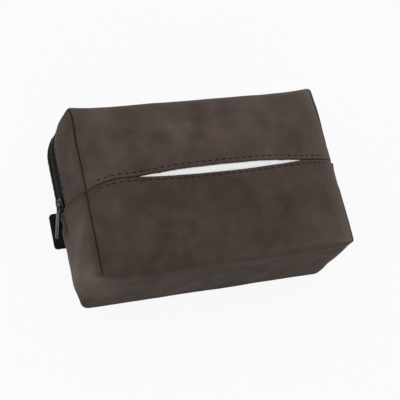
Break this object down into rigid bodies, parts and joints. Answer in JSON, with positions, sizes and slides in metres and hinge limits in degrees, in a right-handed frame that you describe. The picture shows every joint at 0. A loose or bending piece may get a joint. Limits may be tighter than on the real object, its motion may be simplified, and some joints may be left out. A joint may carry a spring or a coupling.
{
  "type": "zipped tissue holder pouch",
  "caption": "Soft boxed pouch in brushed faux leather with a turned dispensing slit, a zip round one side and both ends, a pull tab and a tissue pack inside.",
  "frame": {"origin": "middle of the plain back's outer face", "axes": "+X along the pouch away from the tab and the zip slider, +Y towards the zip side, +Z out of the slit face"},
  "size_m": [0.2352, 0.1378, 0.0992],
  "materials": {
    "leather": "brushed matt faux leather",
    "zip_tape": "woven",
    "zip_teeth": "satin",
    "zip_metal": "satin gunmetal",
    "webbing": "close woven",
    "binding": "woven",
    "tissue": "soft paper"
  },
  "bodies": {
    "holder": {"upper_panel": "leather", "main_panel": "leather", "zip_tape_front": "zip_tape", "zip_tape_back": "zip_tape", "zip_teeth_front": "zip_teeth", "zip_teeth_back": "zip_teeth", "zip_run_teeth_front": "zip_teeth", "zip_run_teeth_back": "zip_teeth", "zip_top_stop_front": "zip_metal", "zip_top_stop_back": "zip_metal", "zip_bottom_stop": "zip_metal", "side_tab": "webbing", "left_front_binding": "binding", "left_back_binding": "binding", "right_front_binding": "binding", "right_back_binding": "binding", "tissue_stack": "tissue", "top_tissue": "tissue"},
    "slider": {"zip_slider": "zip_metal"},
    "puller": {"zip_puller": "zip_metal"}
  },
  "joints": [
    {"name": "slider_travel", "type": "slide", "parent": "holder", "child": "slider", "axis": [-0.0102, 0.9999, 0], "range_m": [0, 0.034], "deforming": ["zip_run_teeth_front", "zip_run_teeth_back"]},
    {"name": "puller_swing", "type": "hinge", "parent": "slider", "child": "puller", "pos_m": [-0.11403, 0.00413, 0.04146], "axis": [-0.2615, -0.0027, -0.9652], "range_deg": [-6, 160]}
  ]
}
